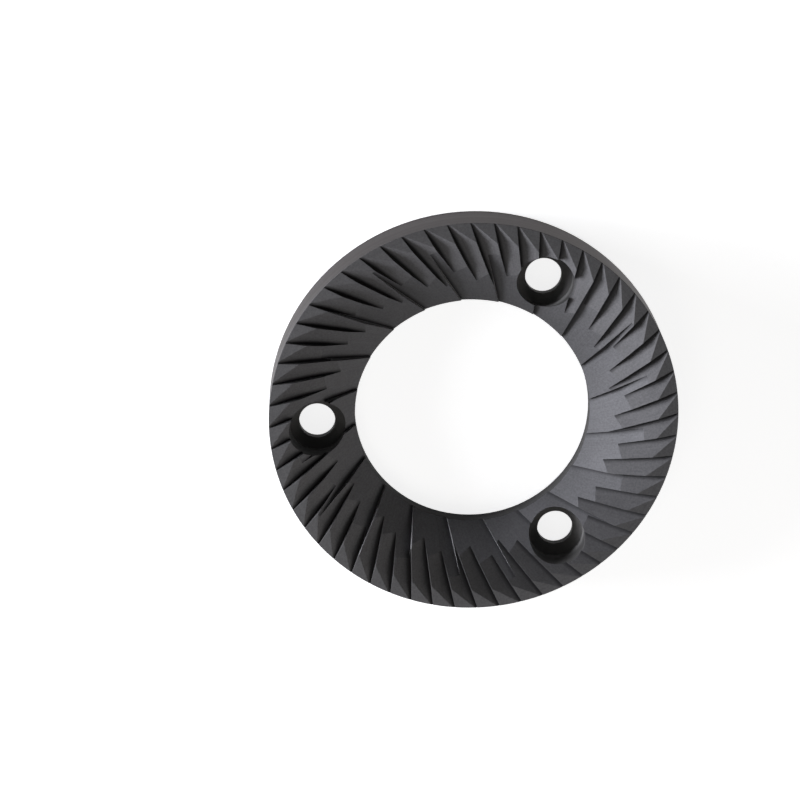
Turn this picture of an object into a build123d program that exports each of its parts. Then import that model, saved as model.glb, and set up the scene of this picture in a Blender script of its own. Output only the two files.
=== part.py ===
from build123d import *
import os
from math import asin, cos, degrees, radians, sin, tan

# Coffee grinder burr: a flat steel ring held by three screws, with cutting teeth on one face.
# The back face lies on z = 0, the teeth point up, and one screw hole is on the +X axis.
# Lengths are in millimetres and angles in degrees.

# Ring
outer_d = 64.0
bore_d = 37.0
thickness = 7.0
outer_back_chamfer = 0.2
bore_back_chamfer = 0.45

# Screw holes: clearance hole, conical seat and straight pocket for the screw head
screw_count = 3
screw_circle_d = 49.0
screw_hole_d = 5.7
pocket_d = 8.8
pocket_floor_depth = 4.3
seat_angle = 120.0
screw_back_chamfer = 0.5

# Finishing teeth at the rim: in each groove a steep wall and a shallow floor meet in a straight root.
# The root starts at the toe and falls inwards; the floor rises across the groove to the next wall.
finish_count = 56
finish_toe_r = 31.9
finish_toe_depth = 0.12
finish_swing = 18.4
finish_fall = 11.7
finish_rise = 20.2
finish_phase = -2.15
finish_reach_out = 1.2
finish_reach_in = 16.5

# Breaker teeth at the bore: fewer and deeper, running out upwards before the rim
breaker_count = 20
breaker_toe_r = bore_d / 2
breaker_toe_depth = 4.5
breaker_line_offset = 7.9
breaker_fall = 21.5
breaker_rise = 19.9
breaker_phase = 2.09
breaker_reach_in = 4.0

# Both kinds of tooth
wall_lean = 10.0

# Cutting solids stand out by this much past open faces, and past the next wall
clear = 0.6
overlap = 0.3


def ring_blank():
    """The plain ring before any tooth is cut, with its broken back edges."""
    r_out = outer_d / 2
    r_in = bore_d / 2
    profile = Polyline(
        (r_in + bore_back_chamfer, 0, 0),
        (r_out - outer_back_chamfer, 0, 0),
        (r_out, 0, outer_back_chamfer),
        (r_out, 0, thickness),
        (r_in, 0, thickness),
        (r_in, 0, bore_back_chamfer),
        close=True,
    )
    return revolve(make_face(profile), Axis.Z)


def flat_sided(end_a, end_b):
    """A solid with flat faces between two triangles given corner by corner."""
    faces = [Face(Wire.make_polygon(end_a)), Face(Wire.make_polygon(end_b))]
    for i in range(3):
        j = (i + 1) % 3
        faces.append(Face(Wire.make_polygon([end_a[i], end_a[j], end_b[j], end_b[i]])))
    return Solid(Shell(faces))


def tooth_space(count, toe_r, toe_depth, swing, fall, rise, reach_out, reach_in):
    """The space of one groove, with its toe on +X and its root swinging clockwise inwards."""
    along = Vector(-cos(radians(swing)), -sin(radians(swing)))
    across = Vector(sin(radians(swing)), -cos(radians(swing)))
    toe = Vector(toe_r, 0, thickness)

    def section(u):
        depth = toe_depth + u * tan(radians(fall))
        height = depth + clear
        root = toe + along * u - Vector(0, 0, depth)
        above = root + Vector(0, 0, height)
        floor_end = above + across * (height / tan(radians(rise)))
        wall_end = above - across * (height * tan(radians(wall_lean)))
        return [root, floor_end, wall_end]

    wedge = flat_sided(section(-reach_out), section(reach_in))
    # The floor ends just past the steep wall of the next groove
    pitch = -360.0 / count
    past_wall = (toe + across * overlap).rotate(Axis.Z, pitch)
    next_wall = Plane(origin=past_wall, x_dir=(0, 0, 1), z_dir=across.rotate(Axis.Z, pitch))
    return split(wedge, bisect_by=next_wall, keep=Keep.BOTTOM)


def finishing_space():
    """One groove between two finishing teeth, from just outside the rim to inside the bore."""
    return tooth_space(
        count=finish_count,
        toe_r=finish_toe_r,
        toe_depth=finish_toe_depth,
        swing=finish_swing,
        fall=finish_fall,
        rise=finish_rise,
        reach_out=finish_reach_out,
        reach_in=finish_reach_in,
    )


def breaker_space():
    """One groove between two breaker teeth, from inside the bore up to the top plane."""
    return tooth_space(
        count=breaker_count,
        toe_r=breaker_toe_r,
        toe_depth=breaker_toe_depth,
        swing=degrees(asin(breaker_line_offset / breaker_toe_r)),
        fall=breaker_fall,
        rise=breaker_rise,
        reach_out=breaker_toe_depth / tan(radians(breaker_fall)),
        reach_in=breaker_reach_in,
    )


def screw_space():
    """Clearance hole, seat and head pocket of one screw as a turned solid on +X."""
    r_hole = screw_hole_d / 2
    r_head = pocket_d / 2
    z_seat = thickness - pocket_floor_depth
    z_throat = z_seat - (r_head - r_hole) / tan(radians(seat_angle / 2))
    profile = Polyline(
        (0, 0, -clear),
        (r_hole + screw_back_chamfer + clear, 0, -clear),
        (r_hole, 0, screw_back_chamfer),
        (r_hole, 0, z_throat),
        (r_head, 0, z_seat),
        (r_head, 0, thickness + clear),
        (0, 0, thickness + clear),
        close=True,
    )
    return Pos(screw_circle_d / 2, 0, 0) * revolve(make_face(profile), Axis.Z)


def around(shape, count, phase):
    """Copies of a shape spaced evenly round the axis, going clockwise."""
    return [Rot(0, 0, phase - 360.0 * i / count) * shape for i in range(count)]


burr_ring = ring_blank()
burr_ring = burr_ring - around(breaker_space(), breaker_count, breaker_phase)
burr_ring = burr_ring - around(finishing_space(), finish_count, finish_phase)
burr_ring = burr_ring - around(screw_space(), screw_count, 0.0)

os.makedirs("parts", exist_ok=True)
export_step(burr_ring, "parts/burr_ring.step")
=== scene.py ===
"""Looks of a coffee grinder burr: one coated steel ring that lies on its flat back with its teeth up."""

import logging
import math
from dataclasses import dataclass
from enum import Enum
from typing import Any, Dict, List, Optional, Tuple, Union

import bmesh
import bpy
from mathutils import Euler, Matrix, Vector


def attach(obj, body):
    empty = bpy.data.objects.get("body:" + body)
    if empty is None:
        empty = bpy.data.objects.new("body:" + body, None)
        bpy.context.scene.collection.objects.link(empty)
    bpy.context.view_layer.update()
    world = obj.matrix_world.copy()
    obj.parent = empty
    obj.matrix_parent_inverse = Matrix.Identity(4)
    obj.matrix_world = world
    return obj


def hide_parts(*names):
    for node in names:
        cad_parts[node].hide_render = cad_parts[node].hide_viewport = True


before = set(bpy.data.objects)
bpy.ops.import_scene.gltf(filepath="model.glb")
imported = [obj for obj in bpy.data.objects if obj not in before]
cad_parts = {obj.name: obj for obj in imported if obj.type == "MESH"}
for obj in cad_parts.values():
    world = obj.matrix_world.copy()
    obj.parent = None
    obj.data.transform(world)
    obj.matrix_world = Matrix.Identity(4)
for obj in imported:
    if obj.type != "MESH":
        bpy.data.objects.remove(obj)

LOG = logging.getLogger("burr")
MM = 0.001

Colour = Tuple[float, float, float]
Number = Union[int, float]


class Signal:
    """A node's output that takes part in arithmetic: each operator adds one Math node."""

    def __init__(self, sheet: "NodeSheet", socket: bpy.types.NodeSocket) -> None:
        """Keeps the sheet and the output socket.

        Args:
            sheet: the node sheet that new nodes are added to.
            socket: the output that this signal stands for.
        """
        self.sheet = sheet
        self.socket = socket

    def __add__(self, other: "Feed") -> "Signal":
        """Sum."""
        return self.sheet.math("ADD", self, other)

    def __radd__(self, other: Number) -> "Signal":
        """Sum with a number on the left."""
        return self.sheet.math("ADD", other, self)

    def __sub__(self, other: "Feed") -> "Signal":
        """Difference."""
        return self.sheet.math("SUBTRACT", self, other)

    def __rsub__(self, other: Number) -> "Signal":
        """Difference from a number on the left."""
        return self.sheet.math("SUBTRACT", other, self)

    def __mul__(self, other: "Feed") -> "Signal":
        """Product."""
        return self.sheet.math("MULTIPLY", self, other)

    def __rmul__(self, other: Number) -> "Signal":
        """Product with a number on the left."""
        return self.sheet.math("MULTIPLY", other, self)

    def __truediv__(self, other: "Feed") -> "Signal":
        """Quotient."""
        return self.sheet.math("DIVIDE", self, other)

    def __rtruediv__(self, other: Number) -> "Signal":
        """A number on the left divided by this."""
        return self.sheet.math("DIVIDE", other, self)


Feed = Union[Signal, Number]


class NodeSheet:
    """A node tree, with one method that adds every kind of node."""

    def __init__(self, tree: bpy.types.NodeTree) -> None:
        """Empties the tree.

        Args:
            tree: the tree of a material or of the world.
        """
        self.tree = tree
        self.tree.nodes.clear()

    def node(
        self,
        kind: str,
        settings: Optional[Dict[str, Any]] = None,
        feeds: Optional[Dict[Union[str, int], Any]] = None,
    ) -> bpy.types.Node:
        """Adds a node, sets it up and feeds its sockets.

        Args:
            kind: Blender's name for the node's type.
            settings: the node's own settings, by name.
            feeds: a value or a signal for each named or numbered input.

        Returns:
            The new node.
        """
        made = self.tree.nodes.new(kind)
        for name, value in (settings or {}).items():
            setattr(made, name, value)
        for key, value in (feeds or {}).items():
            if isinstance(value, Signal):
                self.tree.links.new(value.socket, made.inputs[key])
            else:
                made.inputs[key].default_value = value
        return made

    def out(self, made: bpy.types.Node, output: Union[str, int] = 0) -> Signal:
        """One output of a node as a signal."""
        return Signal(self, made.outputs[output])

    def math(self, operation: str, *values: Feed) -> Signal:
        """A Math node on one to three values."""
        made = self.node("ShaderNodeMath", {"operation": operation}, dict(enumerate(values)))
        return self.out(made)

    def clamp(self, value: Signal) -> Signal:
        """The value held between 0 and 1."""
        return self.out(self.node("ShaderNodeClamp", {}, {"Value": value}))

    def span(self, value: Signal, low: float, high: float) -> Signal:
        """A smooth step of a value.

        Args:
            value: the value that is followed.
            low: where the step starts, at 0.
            high: where the step ends, at 1.

        Returns:
            The step, between 0 and 1.
        """
        settings = {"interpolation_type": "SMOOTHSTEP"}
        feeds = {"Value": value, "From Min": low, "From Max": high}
        return self.out(self.node("ShaderNodeMapRange", settings, feeds))

    def vector(self, x: Feed, y: Feed, z: Feed) -> Signal:
        """A vector from three values."""
        return self.out(self.node("ShaderNodeCombineXYZ", {}, {"X": x, "Y": y, "Z": z}))

    def noise(self, place: Signal, scale: float, detail: float, rough: float) -> Signal:
        """Noise between 0 and 1 at a place, with features about 1 / scale wide."""
        feeds = {"Vector": place, "Scale": scale, "Detail": detail, "Roughness": rough}
        return self.out(self.node("ShaderNodeTexNoise", {}, feeds), "Fac")

    def blend(self, factor: Signal, low: Union[Signal, Colour], high: Colour) -> Signal:
        """A colour between two colours.

        Args:
            factor: 0 for the first colour and 1 for the second.
            low: the first colour, written or from a node.
            high: the second colour.

        Returns:
            The blended colour.
        """
        first = low if isinstance(low, Signal) else (*low, 1.0)
        feeds = {"Factor": factor, 6: first, 7: (*high, 1.0)}
        return self.out(self.node("ShaderNodeMix", {"data_type": "RGBA"}, feeds), 2)


def new_material(name: str) -> Tuple[bpy.types.Material, NodeSheet]:
    """Makes an empty material.

    Args:
        name: the material's name.

    Returns:
        The material and its node sheet.
    """
    material = bpy.data.materials.new(name)
    material.use_nodes = True
    return material, NodeSheet(material.node_tree)


def times(share: float, shade: Colour) -> Colour:
    """A shade made darker or lighter by a share."""
    return (share * shade[0], share * shade[1], share * shade[2])


class Surface(Enum):
    """The kinds of surface on the ring, numbered as its material slots."""

    FACED = 0
    FINE_FLOOR = 1
    FINE_WALL = 2
    BREAKER_FLOOR = 3
    BREAKER_WALL = 4
    RIM = 5
    BORE = 6
    POCKET = 7
    EDGE = 8


TURNED_SURFACES = (Surface.RIM, Surface.BORE, Surface.POCKET)


class ToolPath(Enum):
    """The way that the tool ran over a surface."""

    GROUND = "straight along each groove"
    FACED = "in rings over a flat face"
    TURNED = "round a wall"


@dataclass(frozen=True)
class MarkSpacing:
    """How many tool marks lie across the tool's path, and how often they change along it."""

    across: float
    along: float


# Marks per metre, but across the ground grooves marks per radian round the ring's axis
MARK_SPACING: Dict[ToolPath, MarkSpacing] = {
    ToolPath.GROUND: MarkSpacing(across=230.0, along=40.0),
    ToolPath.FACED: MarkSpacing(across=5000.0, along=10.0),
    ToolPath.TURNED: MarkSpacing(across=1700.0, along=12.0),
}


class Place:
    """A point on the ring, split into its coordinates and its distance from the axis."""

    def __init__(self, sheet: NodeSheet) -> None:
        """Reads the object's own coordinates.

        Args:
            sheet: the sheet to add nodes to.
        """
        self.point = sheet.out(sheet.node("ShaderNodeTexCoord"), "Object")
        parts = sheet.node("ShaderNodeSeparateXYZ", {}, {"Vector": self.point})
        self.x, self.y, self.z = (sheet.out(parts, axis) for axis in "XYZ")
        self.radius = sheet.math("SQRT", self.x * self.x + self.y * self.y)


@dataclass(frozen=True)
class GrooveRow:
    """A row of straight grooves whose roots all pass the axis at one distance."""

    count: int
    line_offset_mm: float
    first_foot_deg: float

    def foot(self, sheet: NodeSheet, place: Place) -> Signal:
        """The direction of the foot of the perpendicular from the axis to the line through a point."""
        reach = sheet.math("ARCCOSINE", (self.line_offset_mm * MM) / place.radius)
        return sheet.math("ARCTAN2", place.y, place.x) - reach

    def from_root(self, sheet: NodeSheet, place: Place) -> Signal:
        """The distance across the floor from the groove's root, in metres.

        Args:
            sheet: the sheet to add nodes to.
            place: the point on the ring.

        Returns:
            Zero at the root, rising towards the next wall.
        """
        pitch = 2.0 * math.pi / self.count
        turned = math.radians(self.first_foot_deg) - self.foot(sheet, place)
        share = sheet.math("FRACT", turned / pitch)
        offset = self.line_offset_mm * MM
        length = sheet.math("SQRT", place.radius * place.radius - offset * offset)
        return share * pitch * length


FINE_ROW = GrooveRow(count=56, line_offset_mm=10.07, first_foot_deg=-73.75)
BREAKER_ROW = GrooveRow(count=20, line_offset_mm=7.9, first_foot_deg=-62.63)


@dataclass(frozen=True)
class HardCoat:
    """The matt graphite-grey coating, with the marks of the tool that cut the steel under it."""

    name: str
    path: ToolPath
    shade: Colour
    row: GrooveRow = FINE_ROW
    roughness: float = 0.58
    metallic: float = 0.75
    specular: float = 0.5
    grazing: Colour = (1.0, 1.0, 1.0)
    shade_spread: float = 0.3
    cloud_mm: float = 7.0
    cloud_contrast: float = 0.45
    cloud_roughening: float = 0.12
    grain_mm: float = 0.3
    grain_contrast: float = 1.1
    grain_roughening: float = 0.1
    grain_depth_mm: float = 0.004
    mark_contrast: float = 0.6
    mark_depth_mm: float = 0.0025
    # Painted shade: the width of the band by each groove's root that is darkened for the wall's shadow, and
    # by how much
    root_painted_shade_width_mm: float = 0.8
    root_painted_shade: float = 0.0
    # A painted colour low on the ring that fades out between the two heights: painted shade at the rim's
    # back edge, painted light on the screw seats
    low_painted_light_and_shade: Optional[Colour] = None
    low_painted_from_mm: float = 0.0
    low_painted_to_mm: float = 1.0

    def build(self) -> bpy.types.Material:
        """Builds the finish.

        Returns:
            The material.
        """
        material, sheet = new_material(self.name)
        place = Place(sheet)
        cloud = sheet.noise(place.point, 1.0 / (self.cloud_mm * MM), 3.0, 0.55) - 0.5
        grain = sheet.noise(place.point, 1.0 / (self.grain_mm * MM), 2.0, 0.6) - 0.5
        marks = self._marks(sheet, place) - 0.5
        streaks = marks * self.mark_contrast
        tone = sheet.clamp(0.5 + cloud * self.cloud_contrast + grain * self.grain_contrast + streaks)
        rough = self.roughness + cloud * self.cloud_roughening + grain * self.grain_roughening
        height = grain * (self.grain_depth_mm * MM) + marks * (self.mark_depth_mm * MM)
        bump = sheet.node("ShaderNodeBump", {}, {"Strength": 1.0, "Distance": 1.0, "Height": height})
        feeds = {
            "Base Color": self._colour(sheet, place, tone),
            "Roughness": rough,
            "Metallic": self.metallic,
            "Specular IOR Level": self.specular,
            "Specular Tint": (*self.grazing, 1.0),
            "Normal": sheet.out(bump),
        }
        shader = sheet.node("ShaderNodeBsdfPrincipled", {}, feeds)
        sheet.node("ShaderNodeOutputMaterial", {}, {"Surface": sheet.out(shader)})
        return material

    def _colour(self, sheet: NodeSheet, place: Place, tone: Signal) -> Signal:
        """The coat's colour, where asked for with painted shade in the groove roots and a painted colour
        low on the ring.

        Args:
            sheet: the sheet to add nodes to.
            place: the point on the ring.
            tone: 0 for the darkest shade of the coat and 1 for the lightest.

        Returns:
            The colour.
        """
        dark = times(1.0 - self.shade_spread, self.shade)
        light = times(1.0 + self.shade_spread, self.shade)
        colour = sheet.blend(tone, dark, light)
        # Painted shade: the floor is darkened towards each groove's root, where the wall's shadow falls
        if self.root_painted_shade > 0.0:
            root = 1.0 - sheet.span(self.row.from_root(sheet, place), 0.0, self.root_painted_shade_width_mm * MM)
            colour = sheet.blend(root, colour, times(1.0 - self.root_painted_shade, self.shade))
        # Painted shade and light by height: a dark band at the rim's back edge and lighter seats low in the
        # screw pockets
        if self.low_painted_light_and_shade:
            low = 1.0 - sheet.span(place.z, self.low_painted_from_mm * MM, self.low_painted_to_mm * MM)
            colour = sheet.blend(low, colour, self.low_painted_light_and_shade)
        return colour

    def _marks(self, sheet: NodeSheet, place: Place) -> Signal:
        """The tool marks, between 0 and 1.

        Args:
            sheet: the sheet to add nodes to.
            place: the point on the ring.

        Returns:
            Noise drawn out along the tool's path.
        """
        spacing = MARK_SPACING[self.path]
        if self.path is ToolPath.TURNED:
            track = sheet.vector(
                place.x * spacing.along, place.y * spacing.along, place.z * spacing.across
            )
        elif self.path is ToolPath.FACED:
            track = sheet.vector(
                place.radius * spacing.across, place.x * spacing.along, place.y * spacing.along
            )
        else:
            foot = self.row.foot(sheet, place)
            track = sheet.vector(
                sheet.math("COSINE", foot) * spacing.across,
                sheet.math("SINE", foot) * spacing.across,
                place.radius * spacing.along,
            )
        return sheet.noise(track, 1.0, 2.0, 0.6)


FINISHES: Dict[Surface, HardCoat] = {
    Surface.FACED: HardCoat(
        name="coat_on_ground_faces",
        path=ToolPath.FACED,
        shade=(0.116, 0.114, 0.115),
        metallic=0.0,
        specular=0.3,
    ),
    Surface.FINE_FLOOR: HardCoat(
        name="coat_on_fine_grooves",
        path=ToolPath.GROUND,
        shade=(0.152, 0.15, 0.155),
        row=FINE_ROW,
        # Painted shade in the roots of the fine grooves
        root_painted_shade=0.62,
    ),
    # Painted shade: the fine walls get a much darker colour than the floors of the same coat, for the shade
    # that they lie in
    Surface.FINE_WALL: HardCoat(
        name="coat_on_fine_walls",
        path=ToolPath.GROUND,
        shade=(0.035, 0.034, 0.034),
        row=FINE_ROW,
        metallic=0.0,
        specular=0.1,
    ),
    Surface.BREAKER_FLOOR: HardCoat(
        name="coat_on_breaker_grooves",
        path=ToolPath.GROUND,
        shade=(0.13, 0.129, 0.135),
        row=BREAKER_ROW,
        # Painted shade in the roots of the breaker grooves
        root_painted_shade=0.5,
    ),
    # Painted light: the breaker walls get a much lighter colour than the floors of the same coat, for the
    # light that catches them
    Surface.BREAKER_WALL: HardCoat(
        name="coat_on_breaker_walls",
        path=ToolPath.GROUND,
        shade=(0.265, 0.262, 0.269),
        row=BREAKER_ROW,
        metallic=0.2,
        specular=0.3,
    ),
    # Painted shade: the rim's colour is darkened for the shade of a neighbouring burr, and a painted shadow
    # band runs along its back edge
    Surface.RIM: HardCoat(
        name="coat_on_turned_rim",
        path=ToolPath.TURNED,
        shade=(0.0585, 0.0565, 0.0565),
        roughness=0.4,
        metallic=1.0,
        grazing=(0.62, 0.602, 0.602),
        mark_contrast=3.0,
        low_painted_light_and_shade=(0.004, 0.004, 0.004),
        low_painted_from_mm=0.27,
        low_painted_to_mm=0.9,
    ),
    # Painted shade: the bore wall gets a darker colour than the floors of the same coat, for the shade
    # inside the bore
    Surface.BORE: HardCoat(
        name="coat_in_bore",
        path=ToolPath.TURNED,
        shade=(0.041, 0.04, 0.04),
        roughness=0.7,
        metallic=0.0,
        specular=0.08,
    ),
    # Painted light and shade: the upper pocket wall is darkened and the seat low in the pocket is lightened
    # for how light falls into the pockets
    Surface.POCKET: HardCoat(
        name="coat_in_screw_pockets",
        path=ToolPath.TURNED,
        shade=(0.022, 0.0215, 0.021),
        metallic=0.0,
        specular=0.12,
        low_painted_light_and_shade=(0.18, 0.177, 0.174),
        low_painted_from_mm=2.4,
        low_painted_to_mm=4.8,
    ),
    Surface.EDGE: HardCoat(
        name="coat_on_broken_edges",
        path=ToolPath.GROUND,
        shade=(0.042, 0.041, 0.042),
        row=FINE_ROW,
        metallic=0.0,
        specular=0.12,
    ),
}


@dataclass
class BurrRing:
    """The ring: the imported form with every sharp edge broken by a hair's width."""

    node_name: str = "burr_ring"
    shown_name: str = "burr_ring_shown"
    hole_count: int = 3
    hole_circle_r_mm: float = 24.5
    pocket_r_mm: float = 4.4
    slack_mm: float = 0.03
    level_z: float = 0.999
    upright_z: float = 0.05
    steep_z: float = 0.4
    breaker_z: float = 0.9
    between_rows_mm: float = 8.0
    weld_mm: float = 0.001
    flat_deg: float = 0.3
    sharp_deg: float = 40.0
    edge_break_mm: float = 0.035
    round_deg: float = 20.0

    def build(self) -> bpy.types.Object:
        """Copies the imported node, welds it and breaks its outer edges.

        Returns:
            The ring's object, which rides on the root body and stands for the node.
        """
        form = bmesh.new()
        form.from_mesh(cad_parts[self.node_name].data)
        bmesh.ops.remove_doubles(form, verts=form.verts, dist=self.weld_mm * MM)
        bmesh.ops.dissolve_limit(
            form,
            angle_limit=math.radians(self.flat_deg),
            verts=form.verts,
            edges=form.edges,
            use_dissolve_boundaries=False,
            delimit=set(),
        )
        for face in form.faces:
            face.material_index = self._kind(face).value
        self._break_edges(form)
        mesh = bpy.data.meshes.new(self.shown_name)
        form.to_mesh(mesh)
        form.free()
        self._shade(mesh)
        ring = bpy.data.objects.new(self.shown_name, mesh)
        bpy.context.scene.collection.objects.link(ring)
        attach(ring, "root")
        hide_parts(self.node_name)
        return ring

    def dress(self, ring: bpy.types.Object) -> None:
        """Gives the ring its finishes, one for each kind of surface.

        Args:
            ring: the ring's object.
        """
        for surface in Surface:
            ring.data.materials.append(FINISHES[surface].build())

    def _kind(self, face: bmesh.types.BMFace) -> Surface:
        """Sorts a face by its slope and its place.

        Args:
            face: a face of the welded form.

        Returns:
            The kind of surface that the face belongs to.
        """
        normal = face.normal
        if abs(normal.z) > self.level_z:
            return Surface.FACED
        if self._in_pocket(face):
            return Surface.POCKET
        centre = face.calc_center_median().xy
        level = normal.xy.normalized()
        if normal.z < self.upright_z:
            return Surface.RIM if level.dot(centre) > 0.0 else Surface.BORE
        if normal.z < self.steep_z:
            passes_near = abs(level.dot(centre)) < self.between_rows_mm * MM
            return Surface.BREAKER_WALL if passes_near else Surface.FINE_WALL
        return Surface.BREAKER_FLOOR if normal.z < self.breaker_z else Surface.FINE_FLOOR

    def _in_pocket(self, face: bmesh.types.BMFace) -> bool:
        """Tells whether a face belongs to a screw hole.

        Args:
            face: a face of the welded form.

        Returns:
            True where every corner lies within the pocket of one hole.
        """
        turn = 2.0 * math.pi / self.hole_count
        reach = (self.pocket_r_mm + self.slack_mm) * MM
        for i in range(self.hole_count):
            hole = Vector((math.cos(i * turn), math.sin(i * turn))) * (self.hole_circle_r_mm * MM)
            if all((corner.co.xy - hole).length < reach for corner in face.verts):
                return True
        return False

    def _break_edges(self, form: bmesh.types.BMesh) -> None:
        """Bevels every sharp outer edge.

        Args:
            form: the welded form.
        """
        limit = math.radians(self.sharp_deg)
        sharp = [
            edge for edge in form.edges
            if edge.is_manifold and edge.is_convex and edge.calc_face_angle() > limit
        ]
        made = bmesh.ops.bevel(
            form,
            geom=sharp,
            offset=self.edge_break_mm * MM,
            offset_type="OFFSET",
            affect="EDGES",
            segments=1,
            profile=0.5,
            material=-1,
            clamp_overlap=False,
        )
        for face in made["faces"]:
            face.material_index = Surface.EDGE.value

    def _shade(self, mesh: bpy.types.Mesh) -> None:
        """Shades turned surfaces smooth and ground ones flat.

        Args:
            mesh: the finished mesh.
        """
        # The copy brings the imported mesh's own normals, which no longer fit its merged faces
        kept = mesh.attributes.get("custom_normal")
        if kept:
            mesh.attributes.remove(kept)
        mesh.set_sharp_from_angle(angle=math.radians(self.round_deg))
        for polygon in mesh.polygons:
            polygon.use_smooth = Surface(polygon.material_index) in TURNED_SURFACES


@dataclass
class Table:
    """The white table top under the ring, with a low white wall round it, in a dim room."""

    radius: float = 3.0
    wall_height: float = 0.6
    sides: int = 64
    shade: float = 0.65
    glow: float = 0.84
    room_light: float = 0.03

    def build(self) -> bpy.types.Object:
        """Makes the table top, its wall and the room's light.

        Returns:
            The table's object.
        """
        form = bmesh.new()
        bmesh.ops.create_circle(form, cap_ends=True, segments=self.sides, radius=self.radius)
        wall = bmesh.ops.extrude_edge_only(form, edges=list(form.edges))
        raised = [item for item in wall["geom"] if isinstance(item, bmesh.types.BMVert)]
        bmesh.ops.translate(form, verts=raised, vec=(0.0, 0.0, self.wall_height))
        mesh = bpy.data.meshes.new("table")
        form.to_mesh(mesh)
        form.free()
        table = bpy.data.objects.new("table", mesh)
        bpy.context.scene.collection.objects.link(table)
        mesh.materials.append(self._white())
        self._room()
        return table

    def _white(self) -> bpy.types.Material:
        """Builds white lacquer that glows where it is seen, so that it reads as white and keeps shadows.

        Returns:
            The material.
        """
        material, sheet = new_material("white_table")
        shade = (self.shade, self.shade, self.shade, 1.0)
        matt = sheet.node("ShaderNodeBsdfDiffuse", {}, {"Color": shade})
        path = sheet.node("ShaderNodeLightPath")
        direct = sheet.out(path, "Is Camera Ray")
        mirrored = sheet.out(path, "Is Glossy Ray")
        through = sheet.out(path, "Is Transmission Ray")
        seen = sheet.clamp(direct + mirrored + through)
        glow = sheet.node("ShaderNodeEmission", {}, {"Strength": self.glow})
        bright = sheet.node("ShaderNodeAddShader", {}, {0: sheet.out(matt), 1: sheet.out(glow)})
        lacquer = sheet.node("ShaderNodeMixShader", {}, {0: seen, 1: sheet.out(matt), 2: sheet.out(bright)})
        sheet.node("ShaderNodeOutputMaterial", {}, {"Surface": sheet.out(lacquer)})
        return material

    def _room(self) -> None:
        """Gives the scene a dim white room."""
        world = bpy.data.worlds.new("room")
        bpy.context.scene.world = world
        world.use_nodes = True
        sheet = NodeSheet(world.node_tree)
        feeds = {"Color": (1.0, 1.0, 1.0, 1.0), "Strength": self.room_light}
        light = sheet.node("ShaderNodeBackground", {}, feeds)
        sheet.node("ShaderNodeOutputWorld", {}, {"Surface": sheet.out(light)})


@dataclass(frozen=True)
class SoftLamp:
    """A soft lamp, placed by its direction and distance from the ring, with sizes in metres."""

    name: str
    azimuth_deg: float
    elevation_deg: float
    watts: float
    width: float
    height: float
    tint: Colour
    distance: float = 0.28

    def build(self) -> bpy.types.Object:
        """Makes the lamp and turns it to the ring.

        Returns:
            The lamp's object.
        """
        lamp = bpy.data.lights.new(self.name, "AREA")
        lamp.shape = "RECTANGLE"
        lamp.size = self.width
        lamp.size_y = self.height
        lamp.energy = self.watts
        lamp.color = self.tint
        azimuth = math.radians(self.azimuth_deg)
        elevation = math.radians(self.elevation_deg)
        towards = Vector((
            math.cos(elevation) * math.cos(azimuth),
            math.cos(elevation) * math.sin(azimuth),
            math.sin(elevation),
        ))
        holder = bpy.data.objects.new(self.name, lamp)
        bpy.context.scene.collection.objects.link(holder)
        holder.location = towards * self.distance
        holder.rotation_euler = towards.to_track_quat("Z", "Y").to_euler()
        return holder


COOL = (0.97, 0.985, 1.05)
WARM = (1.03, 1.0, 0.97)

LAMPS = (
    SoftLamp(
        name="low_window",
        azimuth_deg=-5.0,
        elevation_deg=10.5,
        watts=1.25,
        width=0.14,
        height=0.06,
        tint=COOL,
    ),
    SoftLamp(
        name="low_curtain",
        azimuth_deg=-19.0,
        elevation_deg=5.2,
        watts=1.9,
        width=0.15,
        height=0.05,
        tint=COOL,
    ),
    SoftLamp(
        name="ceiling",
        azimuth_deg=60.0,
        elevation_deg=50.0,
        watts=0.025,
        width=0.1,
        height=0.1,
        tint=WARM,
        distance=0.16,
    ),
    SoftLamp(
        name="far_wall",
        azimuth_deg=146.0,
        elevation_deg=20.0,
        watts=0.2,
        width=0.36,
        height=0.13,
        tint=WARM,
    ),
)


@dataclass(frozen=True)
class PhotoCamera:
    """The camera, at the photograph's angle to the toothed face."""

    name: str = "photo_camera"
    place_mm: Tuple[float, float, float] = (15.533, -136.496, 368.544)
    turn_deg: Tuple[float, float, float] = (-19.9936, -1.9921, 176.3713)
    focal_mm: float = 111.536
    sensor_mm: float = 36.0
    near_mm: float = 10.0

    def build(self) -> bpy.types.Object:
        """Makes the camera and the scene's plain view settings.

        Returns:
            The camera's object.
        """
        lens = bpy.data.cameras.new(self.name)
        lens.sensor_width = self.sensor_mm
        lens.lens = self.focal_mm
        lens.clip_start = self.near_mm * MM
        holder = bpy.data.objects.new(self.name, lens)
        holder.location = Vector(self.place_mm) * MM
        holder.rotation_euler = Euler([math.radians(angle) for angle in self.turn_deg], "XYZ")
        scene = bpy.context.scene
        scene.collection.objects.link(holder)
        scene.camera = holder
        scene.view_settings.view_transform = "Standard"
        return holder


def main() -> None:
    """Builds the ring, the table, the lamps and the camera, and logs the ring's faces and the lamps' watts.
    """
    logging.basicConfig(level=logging.INFO, format="%(message)s")
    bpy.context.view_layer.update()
    ring = BurrRing()
    shown = ring.build()
    ring.dress(shown)
    LOG.info("%s: %d faces", shown.name, len(shown.data.polygons))
    table = Table().build()
    LOG.info("%s: set under the ring", table.name)
    for lamp in LAMPS:
        LOG.info("%s: %.3f W", lamp.build().name, lamp.watts)
    camera = PhotoCamera().build()
    LOG.info("%s: in place", camera.name)


if __name__ == "__main__":
    main()
